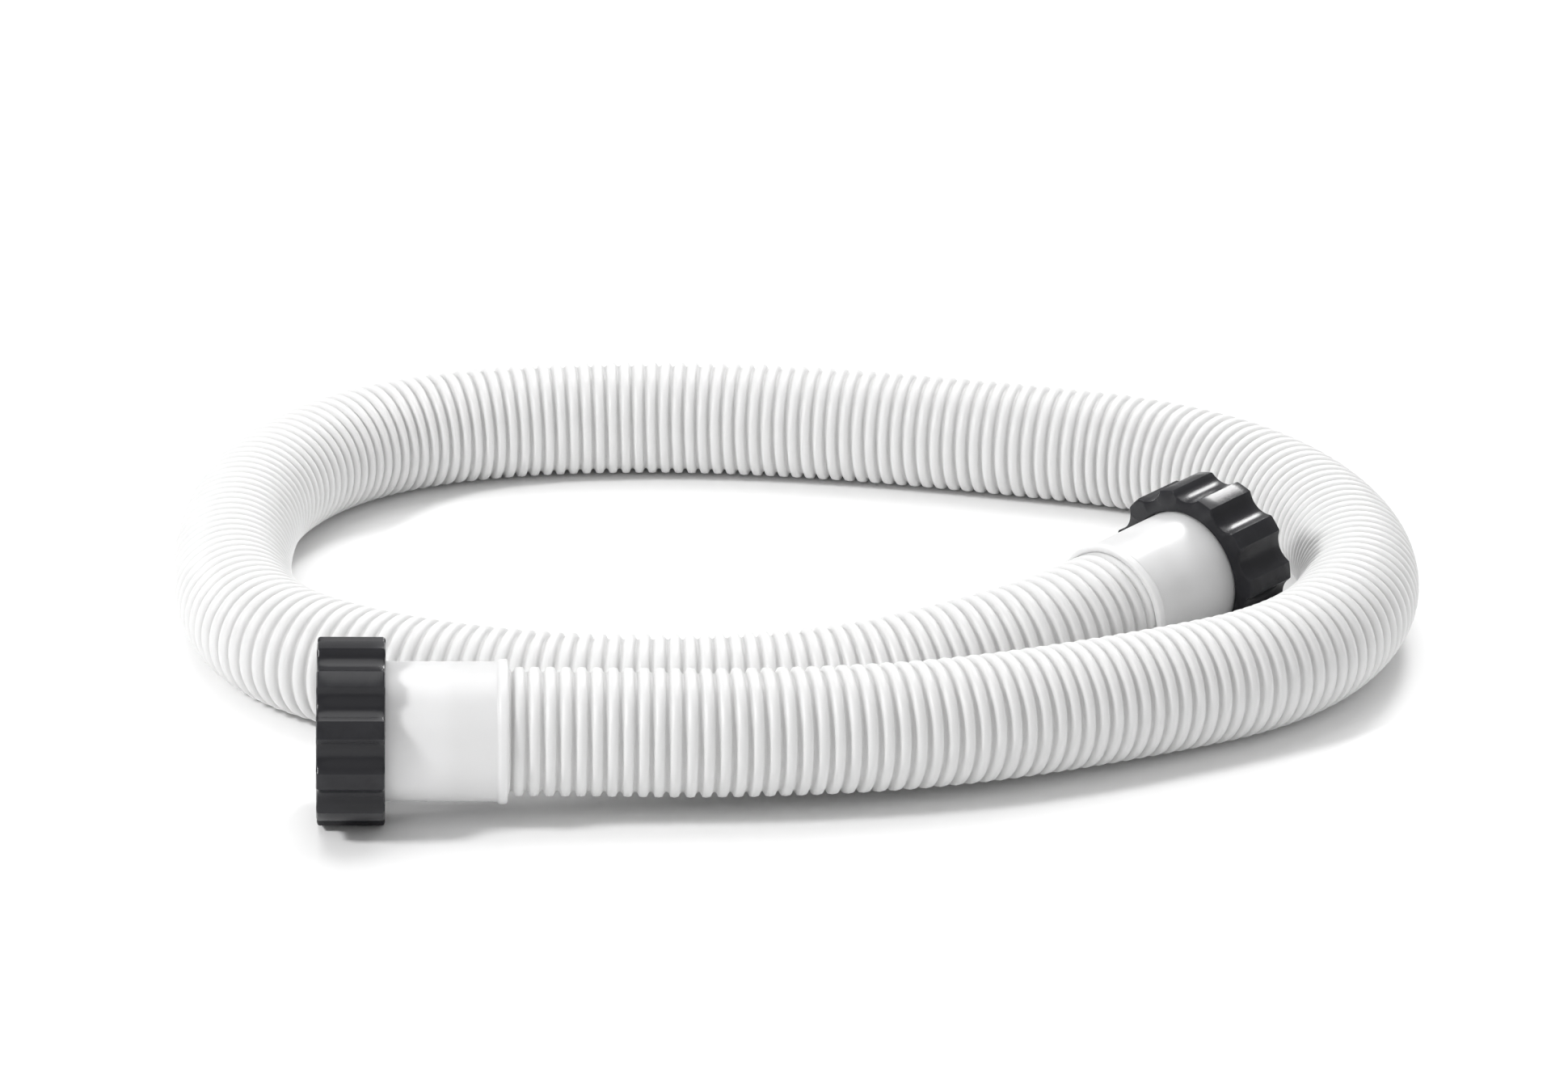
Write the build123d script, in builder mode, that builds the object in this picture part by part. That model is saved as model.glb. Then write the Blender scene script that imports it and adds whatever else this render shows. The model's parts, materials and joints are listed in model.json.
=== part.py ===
"""Corrugated pool vacuum hose, 1.5 m long, with a threaded union nut on each end.

The hose lies in one loose loop on the floor, z = 0. The origin is on the floor, midway
between the two union nuts. Millimetres, +Z up.

Each end is a stack along the hose's own axis. Its plane sits on the hose's cut end, with
its z pointing out of the hose, towards the mouth of the nut:

    hose    -> pushed into the cuff's socket, over the spigot's tail
    cuff    -> soft moulded sleeve with a rolled rim at the back
    spigot  -> stiff tube with a flange, which the nut pulls on
    seal    -> flat rubber ring on the flange
    nut     -> lobed union nut that turns freely between the flange and the cuff
"""

import math
import os

from build123d import *

# Hose
HOSE_OUTER_D = 44.0
HOSE_WALL = 2.8  # from the crests of the ribs to the bore

# The hose's route: x, y, and how far the hose is lifted off the floor, as a share of how
# far the nuts stand out past it. It lies on the floor except near its ends.
ROUTE = [
    (-129, -65, 0.91),
    (-84, -65, 0.78),
    (-28, -67, 0.64),
    (40, -59, 0.45),
    (106, -34, 0.2),
    (167, -4, 0),
    (201, 46, 0),
    (207, 107, 0),
    (188, 166, 0),
    (148, 205, 0),
    (90, 227, 0),
    (24, 248, 0),
    (-46, 261, 0),
    (-118, 258, 0),
    (-169, 234, 0),
    (-201, 186, 0),
    (-209, 128, 0),
    (-206, 74, 0),
    (-189, 34, 0),
    (-150, 5, 0),
    (-98, -15, 0),
    (-44, -21, 0),
    (8, -18, 0.1),
    (51, -4, 0.4),
    (91, 15, 0.72),
    (121, 43, 0.91),
]
BEND_SHARE = 0.45  # how much of the shorter run beside a corner its arc takes up

# Cuff
CUFF_WALL = 1.75
SOCKET_DEPTH = 20.0  # how far the hose goes into the cuff
NECK_LENGTH = 25.0  # from the hose's cut end to the spigot's flange
RIM_HEIGHT = 0.85
RIM_WIDTH = 3.0

# Spigot
SPIGOT_WALL = 2.0
TAIL_LENGTH = 16.0  # how far the spigot goes into the hose
TAIL_TAPER = 0.8
FLANGE_THICKNESS = 3.5
FLANGE_OVERLAP = 1.05  # how far the flange reaches over the nut's inner lip

# Seal
SEAL_THICKNESS = 3.0
SEAL_INSET = 0.2  # from the flange's rim to the seal's
SEAL_STEP_BACK = 1.8  # from the spigot's bore to the seal's hole
SEAL_ROUND = 0.6

# Union nut
NUT_GAP = 0.3  # all round the cuff, round the flange and behind the flange
NUT_LIP_THICKNESS = 3.2
NUT_WALL = 3.6  # from the thread's crests to the bottoms of the grooves
NUT_LOBES = 11
NUT_TURN = {"a": 24, "b": 10.5}  # degrees from level to the middle of a lobe, as each nut lies
LOBE_HEIGHT = 3.0
GROOVE_RADIUS = 8.0
LOBE_ROUND = 1.2
NUT_CHAMFER = 0.8
THREAD_LENGTH = 12.2  # the full thread, from the seal's face to the lead-in
THREAD_LEAD_IN = 0.8
THREAD_RELIEF = 1.6  # depth of the undercut behind the thread

# Radii, each built on the piece inside it
hose_r = HOSE_OUTER_D / 2
hose_bore_r = hose_r - HOSE_WALL
spigot_bore_r = hose_bore_r - SPIGOT_WALL
cuff_r = hose_r + CUFF_WALL
nut_hole_r = cuff_r + NUT_GAP
flange_r = nut_hole_r + FLANGE_OVERLAP
thread_r = flange_r + NUT_GAP
groove_bottom_r = thread_r + NUT_WALL
nut_r = groove_bottom_r + LOBE_HEIGHT

# Stations along an end's axis, counted outwards from the hose's cut end
flange_back = NECK_LENGTH
flange_face = flange_back + FLANGE_THICKNESS
seal_face = flange_face + SEAL_THICKNESS
thread_end = seal_face + THREAD_LENGTH
nut_mouth = thread_end + THREAD_LEAD_IN
nut_lip_face = flange_back - NUT_GAP
nut_back = nut_lip_face - NUT_LIP_THICKNESS


def save(piece, name):
    """Label a finished piece and write its STEP file."""
    piece.part.label = name
    export_step(piece.part, f"parts/{name}.step")


def bend_radii(points):
    """The radius of the arc at each corner, as large as its two runs allow."""
    radii = []
    for before, corner, after in zip(points, points[1:], points[2:]):
        run_in = corner - before
        run_out = after - corner
        shorter = min(run_in.length, run_out.length)
        half_turn = math.radians(run_in.get_angle(run_out) / 2)
        radii.append(BEND_SHARE * shorter / math.tan(half_turn))
    return radii


def end_plane(hose_end, next_point):
    """The plane on the hose's cut end: its z points out of the hose and its x is level."""
    outward = (hose_end - next_point).normalized()
    return Plane(origin=hose_end, x_dir=Vector(0, 0, 1).cross(outward), z_dir=outward)


def profile_plane(plane):
    """The plane of an end's turned profiles: x is the radius, y the station outwards."""
    return Plane(origin=plane.origin, x_dir=plane.x_dir, z_dir=-plane.y_dir)


os.makedirs("parts", exist_ok=True)

lift = nut_r - hose_r
route = [Vector(x, y, hose_r + share * lift) for x, y, share in ROUTE]
radii = bend_radii(route)
print("Bend radii of the hose:", ", ".join(f"{radius:.0f}" for radius in radii))

# Hose: a tube along straight runs and tangent arcs
with BuildPart() as hose:
    with BuildLine() as hose_path:
        FilletPolyline(*route, radius=radii)
    with BuildSketch(Plane(origin=hose_path.line @ 0, z_dir=hose_path.line % 0)):
        Circle(hose_r)
        Circle(hose_bore_r, mode=Mode.SUBTRACT)
    sweep()
save(hose, "hose")

for end, plane in (("a", end_plane(route[0], route[1])), ("b", end_plane(route[-1], route[-2]))):
    axis = Axis(plane.origin, plane.z_dir)
    profile = profile_plane(plane)

    # Cuff: a wide socket round the hose, a neck round the spigot, and a rolled rim
    with BuildPart() as cuff:
        with BuildSketch(profile):
            with BuildLine():
                Polyline(
                    (hose_bore_r, flange_back),
                    (cuff_r, flange_back),
                    (cuff_r, RIM_WIDTH + RIM_HEIGHT - SOCKET_DEPTH),
                    (cuff_r + RIM_HEIGHT, RIM_WIDTH - SOCKET_DEPTH),
                    (cuff_r + RIM_HEIGHT, RIM_HEIGHT - SOCKET_DEPTH),
                    (cuff_r, -SOCKET_DEPTH),
                    (hose_r, -SOCKET_DEPTH),
                    (hose_r, 0),
                    (hose_bore_r, 0),
                    close=True,
                )
            make_face()
        revolve(axis=axis)
    save(cuff, f"cuff_{end}")

    # Spigot: a tube with a tapered tail inside the hose and a flange at the front
    with BuildPart() as spigot:
        with BuildSketch(profile):
            with BuildLine():
                Polyline(
                    (spigot_bore_r, -TAIL_LENGTH),
                    (hose_bore_r - TAIL_TAPER, -TAIL_LENGTH),
                    (hose_bore_r, 2 * TAIL_TAPER - TAIL_LENGTH),
                    (hose_bore_r, flange_back),
                    (flange_r, flange_back),
                    (flange_r, flange_face),
                    (spigot_bore_r, flange_face),
                    close=True,
                )
            make_face()
        revolve(axis=axis)
    save(spigot, f"flanged_spigot_{end}")

    # Seal: a flat ring, rounded round its front edges, that lies on the flange
    with BuildPart() as seal:
        with BuildSketch(plane.offset(flange_face)):
            Circle(flange_r - SEAL_INSET)
            Circle(spigot_bore_r + SEAL_STEP_BACK, mode=Mode.SUBTRACT)
        extrude(amount=SEAL_THICKNESS)
        fillet(faces().sort_by(axis)[-1].edges(), SEAL_ROUND)
    save(seal, f"seal_ring_{end}")

    # Union nut: lobed outside. Inside are the lip that bears on the flange, the undercut,
    # the thread at its crests, and the lead-in.
    groove_turn = Rotation(0, 0, NUT_TURN[end] + 180 / NUT_LOBES)
    nut_plane = Plane(plane.offset(nut_back).location * groove_turn)
    with BuildPart() as nut:
        with BuildSketch(nut_plane):
            Circle(nut_r)
            with PolarLocations(groove_bottom_r + GROOVE_RADIUS, NUT_LOBES):
                Circle(GROOVE_RADIUS, mode=Mode.SUBTRACT)
            fillet(vertices(), LOBE_ROUND)
        extrude(amount=nut_mouth - nut_back)
        end_faces = faces().sort_by(axis)
        chamfer(end_faces[0].edges() + end_faces[-1].edges(), NUT_CHAMFER)
        with BuildSketch(profile):
            with BuildLine():
                Polyline(
                    (0, nut_back),
                    (nut_hole_r, nut_back),
                    (nut_hole_r, nut_lip_face),
                    (thread_r + THREAD_RELIEF, nut_lip_face),
                    (thread_r + THREAD_RELIEF, seal_face),
                    (thread_r, seal_face),
                    (thread_r, thread_end),
                    (thread_r + THREAD_LEAD_IN, nut_mouth),
                    (0, nut_mouth),
                    close=True,
                )
            make_face()
        revolve(axis=axis, mode=Mode.SUBTRACT)
    save(nut, f"union_nut_{end}")
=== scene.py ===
"""A corrugated pool vacuum hose in a loose loop on the floor, with a soft cuff and a
threaded union nut on each end. Metres, +Z up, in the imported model's own frame."""

import json
import math

import bmesh
import bpy
from mathutils import Matrix, Vector


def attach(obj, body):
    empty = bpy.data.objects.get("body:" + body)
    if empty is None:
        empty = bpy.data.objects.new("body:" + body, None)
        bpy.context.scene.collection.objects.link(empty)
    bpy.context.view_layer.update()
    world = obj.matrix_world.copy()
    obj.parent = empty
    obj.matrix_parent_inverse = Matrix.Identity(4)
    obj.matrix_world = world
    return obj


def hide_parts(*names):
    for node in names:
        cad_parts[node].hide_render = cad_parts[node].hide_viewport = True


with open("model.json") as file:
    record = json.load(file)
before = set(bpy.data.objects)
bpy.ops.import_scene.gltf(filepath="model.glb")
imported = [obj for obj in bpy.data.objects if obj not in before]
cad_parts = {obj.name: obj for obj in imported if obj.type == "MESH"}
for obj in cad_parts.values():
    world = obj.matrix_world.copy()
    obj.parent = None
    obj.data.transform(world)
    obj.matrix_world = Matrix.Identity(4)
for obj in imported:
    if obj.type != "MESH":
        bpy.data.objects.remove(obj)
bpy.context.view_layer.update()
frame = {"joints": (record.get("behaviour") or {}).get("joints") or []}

BODY = "hose_and_cuffs"
MM = 0.001

# The hose's route, the control points of one smooth line
ROUTE = [
    (-0.129, -0.065, 0.0311),
    (-0.084, -0.065, 0.0298),
    (-0.028, -0.067, 0.0284),
    (0.040, -0.059, 0.0265),
    (0.106, -0.034, 0.0240),
    (0.167, -0.004, 0.022),
    (0.201, 0.046, 0.022),
    (0.207, 0.107, 0.022),
    (0.188, 0.166, 0.022),
    (0.148, 0.205, 0.022),
    (0.090, 0.227, 0.022),
    (0.024, 0.248, 0.022),
    (-0.046, 0.261, 0.022),
    (-0.118, 0.258, 0.022),
    (-0.169, 0.234, 0.022),
    (-0.201, 0.186, 0.022),
    (-0.209, 0.128, 0.022),
    (-0.206, 0.074, 0.022),
    (-0.189, 0.034, 0.022),
    (-0.150, 0.005, 0.022),
    (-0.098, -0.015, 0.022),
    (-0.044, -0.021, 0.022),
    (0.008, -0.018, 0.0230),
    (0.051, -0.004, 0.0260),
    (0.091, 0.015, 0.0292),
    (0.121, 0.043, 0.0311),
]

# Hose
HOSE_R = 22 * MM
RIB_DEPTH = 1.9 * MM
RIB_PITCH = 5.3 * MM
HOSE_WALL = 1.0 * MM
HOSE_COLLAR = 21 * MM  # the plain end, just past the cuff's back
COLLAR_BORE_R = 19.2 * MM
COLLAR_ROUND = 0.8 * MM  # how long the collar's rounded edges are
COLLAR_DROP = 0.4 * MM  # how far they fall at the cut end
COLLAR_STEP = 1 * MM  # from the collar's bore to the first valley's
HOSE_SEGMENTS = 44
HOSE_SHARP = 80  # degrees: a sharper edge than this isn't smoothed
LINE_STEPS = 64  # steps of the smooth line between two of the route's points
# One rib from valley to valley: (share of the pitch, share of the rib's depth)
RIB_SHAPE = [(0, 1), (0.13, 0.8), (0.25, 0.12), (0.5, 0), (0.75, 0.12), (0.87, 0.8)]

# Fittings: radii, and stations outwards along an end's axis from the back of its nut
CUFF_R = 23.75 * MM
CUFF_BACK = -41.5 * MM
CUFF_ROUND = 1.2 * MM
HOSE_END = -21.5 * MM
RIM_HEIGHT = 0.85 * MM
RIM_WIDTH = 3 * MM
SPIGOT_R = 19.2 * MM
SPIGOT_BORE_R = 17.2 * MM
SPIGOT_TAIL = -37.5 * MM
SPIGOT_ROUND = 0.4 * MM
TAPER_DEPTH = 0.8 * MM  # at the spigot's tail
TAPER_LENGTH = 1.6 * MM
FLANGE_R = 25.1 * MM
FLANGE_BACK = 3.5 * MM
FLANGE_FACE = 7 * MM
SEAL_FACE = 10 * MM
SEAL_INNER_R = SPIGOT_BORE_R + 1.8 * MM
SEAL_OUTER_R = FLANGE_R - 0.2 * MM
SEAL_ROUND = 0.5 * MM
BEAD_HEIGHT = 0.3 * MM
BEAD_FOOT = 1.2 * MM  # half the bead's width where it starts
BEAD_TOP = 0.6 * MM  # and half the width of its flat top
NUT_R = 32 * MM
NUT_HOLE_R = 24.05 * MM
NUT_HOLE_EDGE = 0.5 * MM
NUT_LENGTH = 23 * MM
NUT_LIP = 3.2 * MM
NUT_ROW = 6 * MM  # between the rows of points along the lobes
# A lobe's rounded end, from its side to the end face: (inwards, off the end face)
NUT_CORNER = [(0, 0.9 * MM), (0.25 * MM, 0.35 * MM), (0.9 * MM, 0)]
NUT_LOBES = 11
NUT_TURN = {"a": math.radians(24), "b": math.radians(10.5)}  # to the middle of a lobe
NUT_STEPS = 24  # points round one lobe and one groove
LOBE_SOFTNESS = 0.35 * MM  # how gently a lobe's shoulder turns into the groove
GROOVE_R = 8 * MM
GROOVE_CENTRE_R = 37 * MM
THREAD_CREST_R = 25.4 * MM
THREAD_ROOT_R = 26.9 * MM
THREAD_PITCH = 2.31 * MM
THREAD_TURNS = 4.6
THREAD_STEPS = 96  # round one turn
RIDGE_R = 0.75 * MM
RIDGE_SIDES = 6
RIDGE_STRETCH = (1.05, 1, 0.9)  # outwards, along the thread, and along the axis
RIDGE_SINK = 0.05 * MM  # into the nut's wall
MOUTH_DEPTH = 1.6 * MM  # the cone that leads into the thread
MOUTH_FLARE = 0.8 * MM
TURNED_SEGMENTS = 128
TURNED_SHARP = 35  # degrees
ROUND_SHARE = 0.45  # the most of a run beside a corner that the corner's rounding takes up
ROUND_STEPS = 4

# Rubbed places
RUB_CUFF = 1 * MM  # how far from the cuff's back its rim is rubbed
RUB_CREST = 1.4 * MM  # how far down from a nut's crests the rubbing goes
RUB_RIM = 2.5 * MM  # how far from a nut's end faces it fades to its least
RUB_LEAST = 0.25  # and how much of it is left from there on

# Scales of the materials' patterns, in repeats per metre
GRAIN_SCALE = 2500.0
MOTTLE_SCALE = 40.0
PATCH_SCALE = 260

MOTTLE_HEIGHT = 0.6  # the mottle's share of a skin's heights, where the grain's is 1
# What turns the noise of the patches, the rubbed ones and those of the painted valley shade,
# into their strength
PATCH_GAIN = 1.6
PATCH_SHIFT = -0.3

# A mix node's sockets for colours come after those for numbers and vectors
MIX_COLOURS_IN = (6, 7)
MIX_COLOUR_OUT = 2

# Floor, light and camera
FLOOR_SIZE = 12
FLOOR_CENTRE = (0, 2, 0)
SKY_STRENGTH = 0.46
LAMPS = [  # name, place, what it points at, width, watts
    ("overhead", (0, 0.7, 2.4), (0, 0.1, 0), 2.2, 27),
    ("front", (0.3, -2.1, 1.5), (0, 0.1, 0), 2.4, 6),
    ("left", (-1.6, -0.7, 1.5), (-0.1, 0.1, 0), 0.4, 27),
    ("back", (0.8, 1.7, 1.6), (0, 0.1, 0), 0.6, 24),
]
CAMERA_AIM = Vector((-0.0038, 0.1211, 0.022))
CAMERA_DISTANCE = 2.101
CAMERA_PITCH = math.radians(21.78)  # downwards
CAMERA_HEADING = math.radians(3.5)  # from the left
CAMERA_LENS = 129.9
CAMERA_SENSOR = 36


# Modelling tools

def deselect_all():
    bpy.ops.object.select_all(action="DESELECT")


def select(*pieces):
    """Selects these pieces and nothing else. The last one is the active one."""
    deselect_all()
    for piece in pieces:
        piece.select_set(True)
    bpy.context.view_layer.objects.active = pieces[-1]


def join(piece, whole):
    """Makes one piece part of another."""
    select(piece, whole)
    bpy.ops.object.join()


def edit(piece):
    """Puts one piece in edit mode, with nothing else selected."""
    select(piece)
    bpy.ops.object.mode_set(mode="EDIT")


def object_mode():
    bpy.ops.object.mode_set(mode="OBJECT")


def pick_points(piece, wanted):
    """In edit mode, selects the points whose place passes the test, and nothing else."""
    mesh = bmesh.from_edit_mesh(piece.data)
    bpy.ops.mesh.select_mode(type="VERT")
    for point in mesh.verts:
        point.select = bool(wanted(point.co))
    mesh.select_flush_mode()
    bmesh.update_edit_mesh(piece.data)


def pick_rims(piece, wanted=lambda middle: True):
    """In edit mode, selects the open edges whose middle passes the test, or all of them."""
    bpy.ops.mesh.select_mode(type="EDGE")
    mesh = bmesh.from_edit_mesh(piece.data)
    for edge in mesh.edges:
        middle = (edge.verts[0].co + edge.verts[1].co) / 2
        edge.select = len(edge.link_faces) < 2 and bool(wanted(middle))
    mesh.select_flush_mode()
    bmesh.update_edit_mesh(piece.data)


def new_ring(name, radius, height, segments):
    """A circle of points, open in the middle, round the Z axis."""
    deselect_all()
    bpy.ops.mesh.primitive_circle_add(vertices=segments, radius=radius, location=(0, 0, height))
    ring = bpy.context.object
    ring.name = ring.data.name = name
    bpy.ops.object.transform_apply(location=True, rotation=True, scale=True)
    return ring


def draw_out(rows):
    """Extrudes the selected ring through rows of (radius, height), starting at the first."""
    for (radius, height), (next_radius, next_height) in zip(rows, rows[1:]):
        rise = (0, 0, next_height - height)
        bpy.ops.mesh.extrude_edges_move(TRANSFORM_OT_translate={"value": rise})
        scale = next_radius / radius
        bpy.ops.transform.resize(value=(scale, scale, 1), center_override=(0, 0, 0))


def turned(name, rows):
    """A closed ring turned from a profile of (radius, height) corners."""
    piece = new_ring(name, rows[0][0], rows[0][1], TURNED_SEGMENTS)
    edit(piece)
    bpy.ops.mesh.select_all(action="SELECT")
    draw_out(rows)
    pick_rims(piece)
    bpy.ops.mesh.bridge_edge_loops()
    face_outwards()
    object_mode()
    return piece


def face_outwards():
    """In edit mode, turns every face of the piece outwards."""
    bpy.ops.mesh.select_all(action="SELECT")
    bpy.ops.mesh.normals_make_consistent(inside=False)


def rounded(corner_rows, radius):
    """The rows of a profile, with every corner but the first and the last one rounded."""
    rows = [corner_rows[0]]
    for before, corner, after in zip(corner_rows, corner_rows[1:], corner_rows[2:]):
        corner_at = Vector(corner)
        run_in = Vector(before) - corner_at
        run_out = Vector(after) - corner_at
        reach = min(radius, ROUND_SHARE * run_in.length, ROUND_SHARE * run_out.length)
        start = corner_at + run_in.normalized() * reach
        end = corner_at + run_out.normalized() * reach
        for step in range(ROUND_STEPS + 1):
            t = step / ROUND_STEPS
            bend = start * (1 - t) ** 2 + corner_at * 2 * t * (1 - t) + end * t ** 2
            rows.append((bend.x, bend.y))
    rows.append(corner_rows[-1])
    return rows


def smooth(piece, sharp=TURNED_SHARP):
    """Shades the piece smooth, apart from edges that turn by more than so many degrees."""
    select(piece)
    bpy.ops.object.shade_smooth_by_angle(angle=math.radians(sharp))


def mark(piece, name, amount):
    """Stores on each point of the piece the number that amount(place) gives."""
    attribute = piece.data.attributes.new(name, "FLOAT", "POINT")
    attribute.data.foreach_set("value", [amount(v.co) for v in piece.data.vertices])


# Places

def end_matrix(joint):
    """Turns an end's own axes, z out of the mouth and x level, to the model's axes."""
    outward = Vector(joint["axis"]).normalized()
    level = Vector((0, 0, 1)).cross(outward).normalized()
    upward = outward.cross(level)
    turn = Matrix((level, upward, outward)).transposed().to_4x4()
    return Matrix.Translation(joint["pos_m"]) @ turn


# The joints are nut_a_spin and nut_b_spin, so the fifth character names the end
ends = {joint["name"][4]: end_matrix(joint) for joint in frame["joints"]}


def fit_on_both_ends(piece, node, bodies, material, turns=None):
    """Places one copy of a fitting on each end, in the stead of its CAD node. The name of
    the body that it rides can have {end} in it."""
    piece.data.materials.append(material)
    for end, matrix in ends.items():
        copy = piece.copy()
        copy.data = piece.data.copy()
        if turns:
            matrix = matrix @ Matrix.Rotation(turns[end], 4, "Z")
        copy.data.transform(matrix)
        copy.name = copy.data.name = f"{node}_{end}_finished"
        bpy.context.collection.objects.link(copy)
        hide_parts(f"{node}_{end}")
        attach(copy, bodies.format(end=end))
    bpy.data.objects.remove(piece)


# Materials

def new_material(name):
    """A material with its shader: (material, nodes, links, shader)."""
    material = bpy.data.materials.new(name)
    material.use_nodes = True
    nodes = material.node_tree.nodes
    return material, nodes, material.node_tree.links, nodes["Principled BSDF"]


def new_group(name, inputs, outputs):
    """A shader group with named sockets: (group, its nodes, links, input, output)."""
    group = bpy.data.node_groups.new(name, "ShaderNodeTree")
    for socket, kind, value in inputs:
        made = group.interface.new_socket(socket, in_out="INPUT", socket_type=kind)
        if value is not None:
            made.default_value = value
    for socket, kind in outputs:
        group.interface.new_socket(socket, in_out="OUTPUT", socket_type=kind)
    nodes = group.nodes
    return group, nodes, group.links, nodes.new("NodeGroupInput"), nodes.new("NodeGroupOutput")


def math_node(nodes, links, operation, *values, clamp=False):
    """A math node fed by sockets or numbers."""
    node = nodes.new("ShaderNodeMath")
    node.operation = operation
    node.use_clamp = clamp
    for socket, value in zip(node.inputs, values):
        if isinstance(value, (int, float)):
            socket.default_value = value
        else:
            links.new(value, socket)
    return node.outputs[0]


def place_group(nodes, links, group, **inputs):
    """Puts a group in a material. Its inputs are sockets, numbers or colours, by name."""
    node = nodes.new("ShaderNodeGroup")
    node.node_tree = group
    for name, value in inputs.items():
        socket = node.inputs[name]
        if isinstance(value, bpy.types.NodeSocket):
            links.new(value, socket)
        else:
            socket.default_value = value
    return node.outputs


def make_moulded_skin():
    """The skin of moulded plastic: its fine grain and a slow mottle."""
    group, nodes, links, inside, outside = new_group(
        "moulded_skin",
        [
            ("Place", "NodeSocketVector", None),
            ("Grain Scale", "NodeSocketFloat", GRAIN_SCALE),
            ("Mottle Scale", "NodeSocketFloat", MOTTLE_SCALE),
        ],
        [("Height", "NodeSocketFloat"), ("Mottle", "NodeSocketFloat")],
    )
    grain = nodes.new("ShaderNodeTexNoise")
    grain.inputs["Detail"].default_value = 2
    links.new(inside.outputs["Place"], grain.inputs["Vector"])
    links.new(inside.outputs["Grain Scale"], grain.inputs["Scale"])
    mottle = nodes.new("ShaderNodeTexNoise")
    mottle.inputs["Detail"].default_value = 4
    mottle.inputs["Roughness"].default_value = 0.6
    links.new(inside.outputs["Place"], mottle.inputs["Vector"])
    links.new(inside.outputs["Mottle Scale"], mottle.inputs["Scale"])
    slow = math_node(nodes, links, "MULTIPLY", mottle.outputs["Fac"], MOTTLE_HEIGHT)
    height = math_node(nodes, links, "ADD", grain.outputs["Fac"], slow)
    links.new(height, outside.inputs["Height"])
    links.new(mottle.outputs["Fac"], outside.inputs["Mottle"])
    return group


def make_rub_and_shade_marks():
    """Where a piece is handled or rubbed, and where painted shade greys the hose's valleys: a
    mask broken up into uneven patches.
    """
    group, nodes, links, inside, outside = new_group(
        "rub_marks",
        [
            ("Place", "NodeSocketVector", None),
            ("Mask", "NodeSocketFloat", 0.0),
            ("Amount", "NodeSocketFloat", 0.5),
        ],
        [("Rubbed", "NodeSocketFloat")],
    )
    patches = nodes.new("ShaderNodeTexNoise")
    patches.inputs["Scale"].default_value = PATCH_SCALE
    patches.inputs["Detail"].default_value = 5
    links.new(inside.outputs["Place"], patches.inputs["Vector"])
    noise = patches.outputs["Fac"]
    uneven = math_node(nodes, links, "MULTIPLY_ADD", noise, PATCH_GAIN, PATCH_SHIFT)
    masked = math_node(nodes, links, "MULTIPLY", uneven, inside.outputs["Mask"])
    # the rubbed patches of cuffs and nuts, and the painted shade patches in the hose's valleys
    rubbed = math_node(nodes, links, "MULTIPLY", masked, inside.outputs["Amount"], clamp=True)
    links.new(rubbed, outside.inputs["Rubbed"])
    return group


def object_place(nodes):
    """Each spot's place in the piece's own axes."""
    return nodes.new("ShaderNodeTexCoord").outputs["Object"]


def point_mask(nodes, name):
    """The number that the piece's points carry under this name."""
    attribute = nodes.new("ShaderNodeAttribute")
    attribute.attribute_name = name
    return attribute.outputs["Fac"]


def blend_colours(nodes, links, factor, first, second):
    """A colour between two, each a colour or a socket."""
    mix = nodes.new("ShaderNodeMix")
    mix.data_type = "RGBA"
    links.new(factor, mix.inputs["Factor"])
    for index, value in zip(MIX_COLOURS_IN, (first, second)):
        socket = mix.inputs[index]
        if isinstance(value, bpy.types.NodeSocket):
            links.new(value, socket)
        else:
            socket.default_value = (*value, 1)
    return mix.outputs[MIX_COLOUR_OUT]


def between(nodes, links, factor, low, high):
    """A number from low to high as the factor goes from 0 to 1."""
    ranged = nodes.new("ShaderNodeMapRange")
    links.new(factor, ranged.inputs["Value"])
    ranged.inputs["To Min"].default_value = low
    ranged.inputs["To Max"].default_value = high
    return ranged.outputs["Result"]


def bumped(nodes, links, shader, height, distance, strength):
    """Lets the light fall on the shader's surface as if it had these small heights."""
    bump = nodes.new("ShaderNodeBump")
    bump.inputs["Distance"].default_value = distance
    bump.inputs["Strength"].default_value = strength
    links.new(height, bump.inputs["Height"])
    links.new(bump.outputs["Normal"], shader.inputs["Normal"])


def let_light_in(shader):
    """Thin white plastic, which light goes into a little way."""
    shader.inputs["Subsurface Weight"].default_value = 0.8
    shader.inputs["Subsurface Radius"].default_value = (1, 1, 1)
    shader.inputs["Subsurface Scale"].default_value = 5 * MM


moulded_skin = make_moulded_skin()
rub_marks = make_rub_and_shade_marks()


def make_hose_plastic():
    """White corrugated plastic, with painted shade greying its ribs' valleys."""
    material, nodes, links, shader = new_material("hose_plastic")
    place = object_place(nodes)
    skin = place_group(nodes, links, moulded_skin, Place=place)
    valley = point_mask(nodes, "valley")
    mottled = blend_colours(
        nodes, links, skin["Mottle"], (0.75, 0.75, 0.745), (0.79, 0.79, 0.79)
    )
    # painted shade: the valleys are greyed in uneven patches where shade falls between the ribs
    painted_valley_shade = place_group(nodes, links, rub_marks, Place=place, Mask=valley, Amount=0.55)
    colour = blend_colours(nodes, links, painted_valley_shade["Rubbed"], mottled, (0.7, 0.695, 0.68))
    links.new(colour, shader.inputs["Base Color"])
    links.new(between(nodes, links, skin["Mottle"], 0.4, 0.5), shader.inputs["Roughness"])
    let_light_in(shader)
    bumped(nodes, links, shader, skin["Height"], 0.08 * MM, 0.35)
    return material


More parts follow.
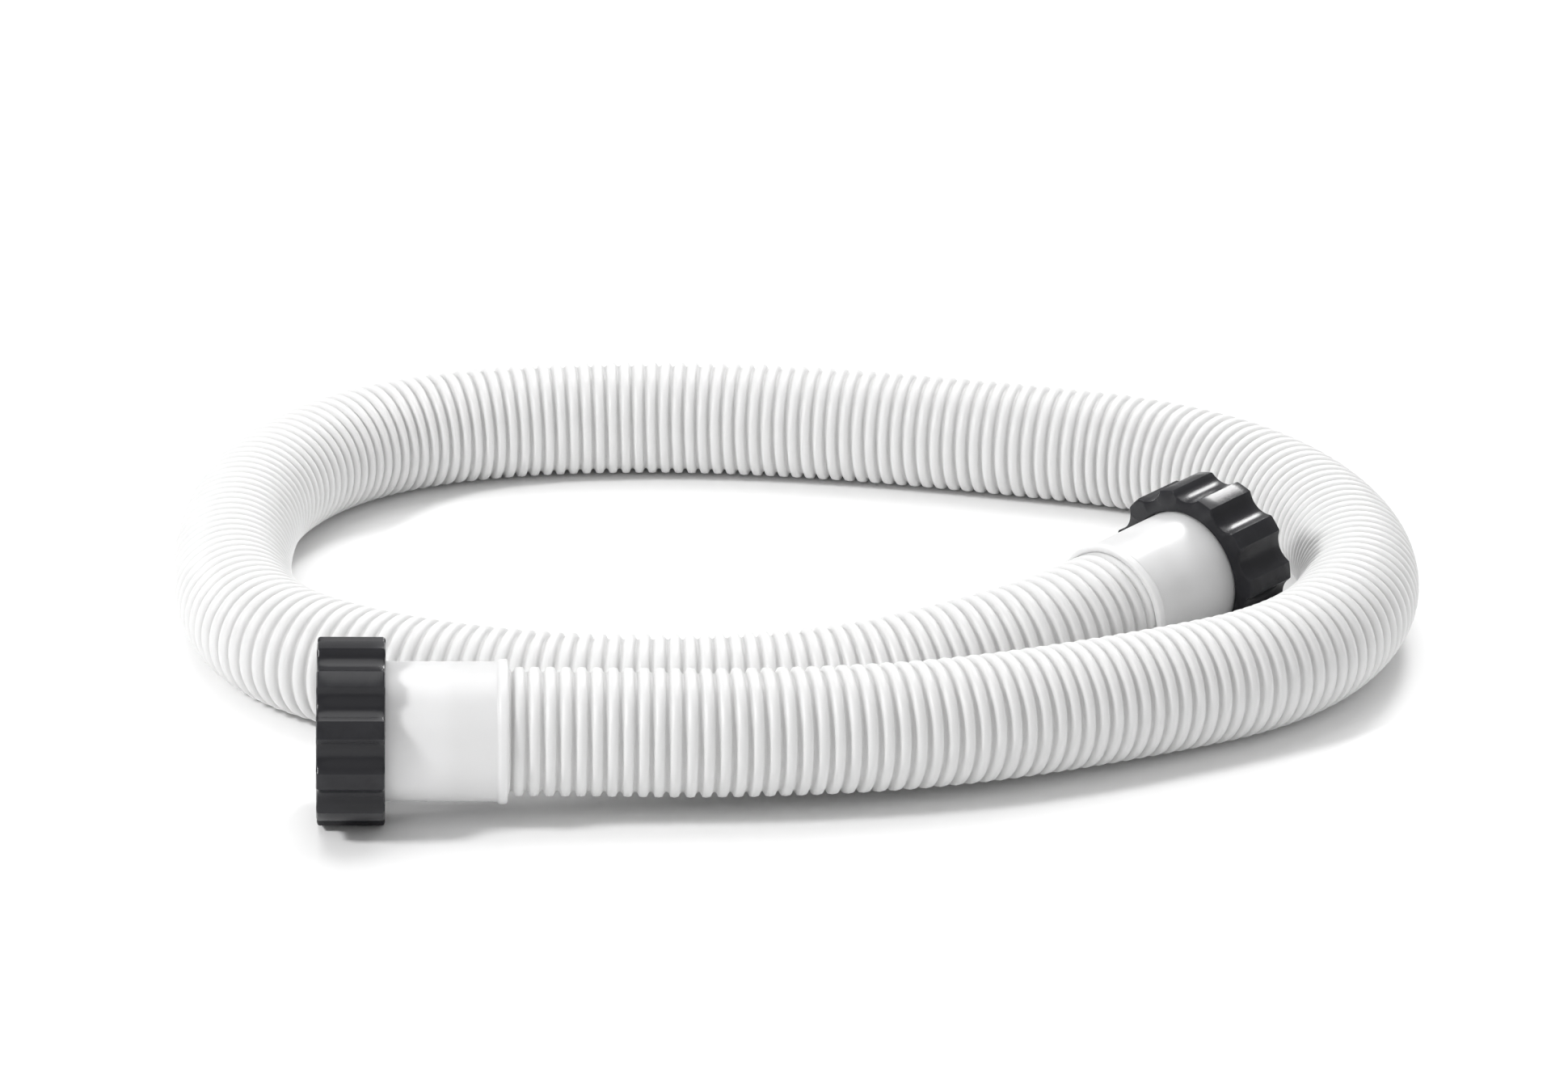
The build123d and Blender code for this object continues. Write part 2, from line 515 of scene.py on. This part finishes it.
def make_cuff_plastic():
    """Smooth soft plastic, a shade less white than the hose, and rubbed on its rim."""
    material, nodes, links, shader = new_material("cuff_plastic")
    place = object_place(nodes)
    skin = place_group(nodes, links, moulded_skin, Place=place)
    mottled = blend_colours(
        nodes, links, skin["Mottle"], (0.70, 0.70, 0.705), (0.74, 0.74, 0.74)
    )
    mask = point_mask(nodes, "edge")
    rubbed = place_group(nodes, links, rub_marks, Place=place, Mask=mask, Amount=0.4)
    colour = blend_colours(nodes, links, rubbed["Rubbed"], mottled, (0.64, 0.64, 0.63))
    links.new(colour, shader.inputs["Base Color"])
    links.new(between(nodes, links, skin["Mottle"], 0.3, 0.42), shader.inputs["Roughness"])
    let_light_in(shader)
    bumped(nodes, links, shader, skin["Height"], 0.06 * MM, 0.3)
    return material


def make_spigot_plastic():
    """Stiff off-white plastic, a little mottled."""
    material, nodes, links, shader = new_material("spigot_plastic")
    place = object_place(nodes)
    skin = place_group(nodes, links, moulded_skin, Place=place)
    colour = blend_colours(nodes, links, skin["Mottle"], (0.72, 0.72, 0.69), (0.8, 0.8, 0.78))
    links.new(colour, shader.inputs["Base Color"])
    links.new(between(nodes, links, skin["Mottle"], 0.28, 0.45), shader.inputs["Roughness"])
    bumped(nodes, links, shader, skin["Height"], 0.05 * MM, 0.25)
    return material


def make_nut_plastic():
    """Black satin plastic with a fine grain, greyer where hands rub it."""
    material, nodes, links, shader = new_material("nut_plastic")
    place = object_place(nodes)
    skin = place_group(nodes, links, moulded_skin, Place=place)
    skin_colour = blend_colours(
        nodes, links, skin["Mottle"], (0.009, 0.009, 0.011), (0.016, 0.016, 0.019)
    )
    mask = point_mask(nodes, "edge")
    rubbed = place_group(nodes, links, rub_marks, Place=place, Mask=mask, Amount=0.5)
    colour = blend_colours(nodes, links, rubbed["Rubbed"], skin_colour, (0.05, 0.051, 0.056))
    links.new(colour, shader.inputs["Base Color"])
    links.new(between(nodes, links, skin["Mottle"], 0.2, 0.3), shader.inputs["Roughness"])
    shader.inputs["Specular IOR Level"].default_value = 0.3
    bumped(nodes, links, shader, skin["Height"], 0.06 * MM, 0.4)
    return material


def make_seal_rubber():
    """Matt black rubber, paler in places."""
    material, nodes, links, shader = new_material("seal_rubber")
    skin = place_group(nodes, links, moulded_skin, Place=object_place(nodes))
    colour = blend_colours(
        nodes, links, skin["Mottle"], (0.012, 0.012, 0.013), (0.045, 0.045, 0.046)
    )
    links.new(colour, shader.inputs["Base Color"])
    links.new(between(nodes, links, skin["Mottle"], 0.6, 0.8), shader.inputs["Roughness"])
    bumped(nodes, links, shader, skin["Height"], 0.1 * MM, 0.5)
    return material


# Hose

def route_line():
    """Points close together along the smooth line that the route's points control."""
    curve = bpy.data.curves.new("hose_route", "CURVE")
    curve.dimensions = "3D"
    spline = curve.splines.new("NURBS")
    spline.points.add(len(ROUTE) - 1)
    for point, place in zip(spline.points, ROUTE):
        point.co = (*place, 1)
    spline.order_u = 3
    spline.use_endpoint_u = True
    spline.resolution_u = LINE_STEPS
    route = bpy.data.objects.new("hose_route", curve)
    bpy.context.collection.objects.link(route)
    line = bpy.data.meshes.new_from_object(route)
    points = [v.co.copy() for v in line.vertices]
    bpy.data.objects.remove(route)
    bpy.data.meshes.remove(line)
    bpy.data.curves.remove(curve)
    return points


def stations_along(points):
    """How far along the line each point is."""
    stations = [0.0]
    for before, after in zip(points, points[1:]):
        stations.append(stations[-1] + (after - before).length)
    return stations


def section_axes(points, stations, distances):
    """The place, sideways and upward directions of a section at each distance."""
    axes = []
    index = 0
    for distance in distances:
        while index < len(stations) - 2 and stations[index + 1] < distance:
            index += 1
        share = (distance - stations[index]) / (stations[index + 1] - stations[index])
        place = points[index].lerp(points[index + 1], share)
        before = points[max(index - 1, 0)]
        after = points[min(index + 2, len(points) - 1)]
        along = (points[index + 1] - before).lerp(after - points[index], share).normalized()
        sideways = along.cross(Vector((0, 0, 1))).normalized()
        axes.append((place, sideways, sideways.cross(along)))
    return axes


def rib_count_and_pitch(length):
    """As many whole ribs as fit between the collars, and how far apart that puts them."""
    ribs = round((length - 2 * HOSE_COLLAR) / RIB_PITCH)
    return ribs, (length - 2 * HOSE_COLLAR) / ribs


def hose_rows(length):
    """Rows along the hose from end to end: (distance, depth below the crests, valley)."""
    ribs, pitch = rib_count_and_pitch(length)
    rows = [(0, COLLAR_DROP, 0), (COLLAR_ROUND, 0, 0), (HOSE_COLLAR - COLLAR_ROUND, 0, 0)]
    for rib in range(ribs):
        for share, depth in RIB_SHAPE:
            rows.append((HOSE_COLLAR + (rib + share) * pitch, depth * RIB_DEPTH, depth))
    rows.append((length - HOSE_COLLAR, RIB_DEPTH, 1))
    rows.append((length - HOSE_COLLAR + COLLAR_ROUND, 0, 0))
    rows.append((length - COLLAR_ROUND, 0, 0))
    rows.append((length, COLLAR_DROP, 0))
    return rows


def bore_rows(length):
    """Rows of the bore, from the far end back to the near one: (distance, radius)."""
    ribs, pitch = rib_count_and_pitch(length)
    valley_r = HOSE_R - RIB_DEPTH - HOSE_WALL
    rows = [(0, COLLAR_BORE_R), (HOSE_COLLAR - COLLAR_STEP, COLLAR_BORE_R)]
    for rib in range(ribs):
        rows.append((HOSE_COLLAR + rib * pitch, valley_r))
        rows.append((HOSE_COLLAR + (rib + 0.5) * pitch, HOSE_R - HOSE_WALL))
    rows.append((length - HOSE_COLLAR, valley_r))
    rows.append((length - HOSE_COLLAR + COLLAR_STEP, COLLAR_BORE_R))
    rows.append((length, COLLAR_BORE_R))
    return rows[::-1]


def make_hose():
    """The corrugated tube: rings of points along the route, outside and back inside."""
    points = route_line()
    stations = stations_along(points)
    length = stations[-1]
    rings = [(distance, HOSE_R - depth, valley) for distance, depth, valley in hose_rows(length)]
    rings += [(distance, radius, 1) for distance, radius in bore_rows(length)]
    turns = [2 * math.pi * step / HOSE_SEGMENTS for step in range(HOSE_SEGMENTS)]
    circle = [(math.cos(turn), math.sin(turn)) for turn in turns]

    order = sorted(range(len(rings)), key=lambda row: rings[row][0])
    axes = dict(zip(order, section_axes(points, stations, [rings[row][0] for row in order])))
    places = []
    valleys = []
    for row, (_, radius, valley) in enumerate(rings):
        centre, sideways, upward = axes[row]
        for across, up in circle:
            places.append(centre + radius * (across * sideways + up * upward))
            valleys.append(valley)
    faces = []
    for row in range(len(rings)):
        this = row * HOSE_SEGMENTS
        following = (row + 1) % len(rings) * HOSE_SEGMENTS
        for step in range(HOSE_SEGMENTS):
            beside = (step + 1) % HOSE_SEGMENTS
            faces.append((this + step, this + beside, following + beside, following + step))

    mesh = bpy.data.meshes.new("corrugated_hose")
    mesh.from_pydata(places, [], faces)
    mesh.attributes.new("valley", "FLOAT", "POINT").data.foreach_set("value", valleys)
    hose = bpy.data.objects.new("corrugated_hose", mesh)
    bpy.context.collection.objects.link(hose)
    edit(hose)
    face_outwards()
    object_mode()
    smooth(hose, HOSE_SHARP)
    hose.data.materials.append(make_hose_plastic())
    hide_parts("hose")
    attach(hose, BODY)


# Fittings

def make_cuffs():
    """Soft sleeves: a socket round the hose, a neck round the spigot and a rolled rim."""
    rim_front = CUFF_BACK + RIM_WIDTH
    outside = [
        (SPIGOT_R, FLANGE_BACK),
        (CUFF_R, FLANGE_BACK),
        (CUFF_R, rim_front + RIM_HEIGHT),
        (CUFF_R + RIM_HEIGHT, rim_front),
        (CUFF_R + RIM_HEIGHT, CUFF_BACK),
        (HOSE_R, CUFF_BACK),
        (HOSE_R, HOSE_END),
        (SPIGOT_R, HOSE_END),
    ]
    cuff = turned("cuff", rounded(outside, CUFF_ROUND))
    mark(cuff, "edge", lambda place: 1.0 if place.z < CUFF_BACK + RUB_CUFF else 0.0)
    smooth(cuff)
    fit_on_both_ends(cuff, "cuff", BODY, make_cuff_plastic())


def make_spigots():
    """Stiff tubes with a tapered tail inside the hose and a flange under the seal."""
    outside = [
        (SPIGOT_BORE_R, SPIGOT_TAIL),
        (SPIGOT_R - TAPER_DEPTH, SPIGOT_TAIL),
        (SPIGOT_R, SPIGOT_TAIL + TAPER_LENGTH),
        (SPIGOT_R, FLANGE_BACK),
        (FLANGE_R, FLANGE_BACK),
        (FLANGE_R, FLANGE_FACE),
        (SPIGOT_BORE_R, FLANGE_FACE),
    ]
    spigot = turned("spigot", rounded(outside, SPIGOT_ROUND))
    smooth(spigot)
    fit_on_both_ends(spigot, "flanged_spigot", BODY, make_spigot_plastic())


def make_seals():
    """Flat rubber rings on the flanges, with a moulded bead round the middle of the face."""
    middle = (SEAL_INNER_R + SEAL_OUTER_R) / 2
    flat = SEAL_FACE - BEAD_HEIGHT
    outside = [
        (SEAL_INNER_R, FLANGE_FACE),
        (SEAL_OUTER_R, FLANGE_FACE),
        (SEAL_OUTER_R, flat),
        (middle + BEAD_FOOT, flat),
        (middle + BEAD_TOP, SEAL_FACE),
        (middle - BEAD_TOP, SEAL_FACE),
        (middle - BEAD_FOOT, flat),
        (SEAL_INNER_R, flat),
    ]
    seal = turned("seal", rounded(outside, SEAL_ROUND))
    smooth(seal)
    fit_on_both_ends(seal, "seal_ring", BODY, make_seal_rubber())


def lobed_radius(turn):
    """How far the nut's outline is from its axis, at an angle from the middle of a lobe."""
    groove = math.pi / NUT_LOBES - abs(turn)
    reach = GROOVE_CENTRE_R * math.cos(groove)
    inside = GROOVE_R ** 2 - (GROOVE_CENTRE_R * math.sin(groove)) ** 2
    if inside < 0:
        return NUT_R
    bottom = reach - math.sqrt(inside)
    # a smooth minimum rounds the lobes' shoulders
    blend = max(LOBE_SOFTNESS - abs(bottom - NUT_R), 0) / LOBE_SOFTNESS
    return min(bottom, NUT_R) - blend * blend * LOBE_SOFTNESS / 4


def shape_lobes(nut):
    """Pulls the points of a plain ring in, one line of every groove at a time."""
    lobe_turn = 2 * math.pi / NUT_LOBES

    def step_of(place):
        """How many points a place is from the middle of its lobe."""
        turn = math.atan2(place.y, place.x) % lobe_turn
        return round(min(turn, lobe_turn - turn) / lobe_turn * NUT_STEPS)

    for step in range(NUT_STEPS // 2 + 1):
        scale = lobed_radius(step / NUT_STEPS * lobe_turn) / NUT_R
        pick_points(nut, lambda place: step_of(place) == step)
        bpy.ops.transform.resize(value=(scale, scale, 1), center_override=(0, 0, 0))


def make_thread():
    """The thread's ridge, wound up the inside of the nut and sunk a little into its wall."""
    ridge = new_ring("thread", RIDGE_R, 0, RIDGE_SIDES)
    edit(ridge)
    bpy.ops.mesh.select_all(action="SELECT")
    bpy.ops.transform.rotate(value=math.pi / 2, orient_axis="X", center_override=(0, 0, 0))
    bpy.ops.transform.resize(value=RIDGE_STRETCH, center_override=(0, 0, 0))
    middle_r = (THREAD_CREST_R + THREAD_ROOT_R) / 2 + RIDGE_SINK
    start = SEAL_FACE + THREAD_PITCH / 2
    bpy.ops.transform.translate(value=(middle_r, 0, start))
    object_mode()
    winding = ridge.modifiers.new("winding", "SCREW")
    winding.axis = "Z"
    winding.angle = 2 * math.pi * THREAD_TURNS
    winding.screw_offset = THREAD_PITCH * THREAD_TURNS
    winding.steps = winding.render_steps = round(THREAD_STEPS * THREAD_TURNS)
    winding.use_merge_vertices = False
    select(ridge)
    bpy.ops.object.modifier_apply(modifier="winding")
    edit(ridge)
    pick_rims(ridge, lambda middle: middle.z < start + THREAD_PITCH)
    bpy.ops.mesh.fill()
    pick_rims(ridge)
    bpy.ops.mesh.fill()
    face_outwards()
    object_mode()
    return ridge


def make_nuts():
    """Lobed union nuts: a shell between the lobed outside and the threaded inside."""
    back = [(NUT_R - inwards, off_face) for inwards, off_face in NUT_CORNER]
    rows = [(NUT_R, row * NUT_ROW) for row in (1, 2, 3)]
    front = [(NUT_R - inwards, NUT_LENGTH - off_face) for inwards, off_face in NUT_CORNER]
    nut = new_ring("nut", back[0][0], back[0][1], NUT_LOBES * NUT_STEPS)
    edit(nut)
    shape_lobes(nut)
    bpy.ops.mesh.select_all(action="SELECT")
    draw_out([back[0], *rows, *front])
    pick_rims(nut, lambda middle: middle.z < NUT_LENGTH / 2)
    draw_out(back)
    object_mode()

    inside = [
        (NUT_HOLE_R + NUT_HOLE_EDGE, 0),
        (NUT_HOLE_R, NUT_HOLE_EDGE),
        (NUT_HOLE_R, NUT_LIP),
        (THREAD_ROOT_R, NUT_LIP),
        (THREAD_ROOT_R, NUT_LENGTH - MOUTH_DEPTH),
        (THREAD_ROOT_R + MOUTH_FLARE, NUT_LENGTH),
    ]
    bore = new_ring("nut_bore", inside[0][0], inside[0][1], NUT_LOBES * NUT_STEPS)
    edit(bore)
    bpy.ops.mesh.select_all(action="SELECT")
    draw_out(inside)
    object_mode()
    join(bore, nut)
    edit(nut)
    pick_rims(nut, lambda middle: middle.z < NUT_LENGTH / 2)
    bpy.ops.mesh.fill()
    pick_rims(nut)
    bpy.ops.mesh.fill()
    face_outwards()
    object_mode()

    def edge_share(place):
        """1 on the lobes' crests at the end faces, 0 in the grooves and inside."""
        radius = math.hypot(place.x, place.y)
        crest = min(max((radius - NUT_R + RUB_CREST) / RUB_CREST, 0), 1)
        rim = 1 - min(min(place.z, NUT_LENGTH - place.z) / RUB_RIM, 1)
        return max(RUB_LEAST, rim) * crest

    mark(nut, "edge", edge_share)
    thread = make_thread()
    mark(thread, "edge", lambda place: 0.0)
    join(thread, nut)
    smooth(nut)
    material = make_nut_plastic()
    fit_on_both_ends(nut, "union_nut", "nut_{end}", material, NUT_TURN)


# Stage

def make_floor():
    """A plain pale floor."""
    deselect_all()
    bpy.ops.mesh.primitive_plane_add(size=FLOOR_SIZE, location=FLOOR_CENTRE)
    floor = bpy.context.object
    floor.name = floor.data.name = "floor"
    material, _, _, shader = new_material("pale_floor")
    shader.inputs["Base Color"].default_value = (0.97, 0.97, 0.97, 1)
    shader.inputs["Roughness"].default_value = 0.9
    shader.inputs["Specular IOR Level"].default_value = 0.0
    floor.data.materials.append(material)


def add_area_light(name, place, aim, size, power):
    """A round lamp that points at a place."""
    data = bpy.data.lights.new(name, "AREA")
    data.shape = "DISK"
    data.size = size
    data.energy = power
    lamp = bpy.data.objects.new(name, data)
    bpy.context.collection.objects.link(lamp)
    lamp.location = place
    lamp.rotation_euler = (Vector(aim) - Vector(place)).to_track_quat("-Z", "Y").to_euler()


def light_studio():
    """Soft white light: broad lamps overhead and in front, small ones left and behind."""
    world = bpy.data.worlds.new("studio")
    world.use_nodes = True
    sky = world.node_tree.nodes["Background"]
    sky.inputs["Color"].default_value = (1, 1, 1, 1)
    sky.inputs["Strength"].default_value = SKY_STRENGTH
    bpy.context.scene.world = world
    for lamp in LAMPS:
        add_area_light(*lamp)
    bpy.context.scene.view_settings.view_transform = "Standard"


def add_camera():
    """Looks down on the hose from the front, a little from the left."""
    data = bpy.data.cameras.new("camera")
    data.lens = CAMERA_LENS
    data.sensor_width = CAMERA_SENSOR
    camera = bpy.data.objects.new("camera", data)
    bpy.context.collection.objects.link(camera)
    away = Vector((
        -math.sin(CAMERA_HEADING) * math.cos(CAMERA_PITCH),
        -math.cos(CAMERA_HEADING) * math.cos(CAMERA_PITCH),
        math.sin(CAMERA_PITCH),
    ))
    camera.location = CAMERA_AIM + CAMERA_DISTANCE * away
    camera.rotation_euler = (math.pi / 2 - CAMERA_PITCH, 0, -CAMERA_HEADING)
    bpy.context.scene.camera = camera


make_hose()
make_cuffs()
make_spigots()
make_seals()
make_nuts()
make_floor()
light_studio()
add_camera()
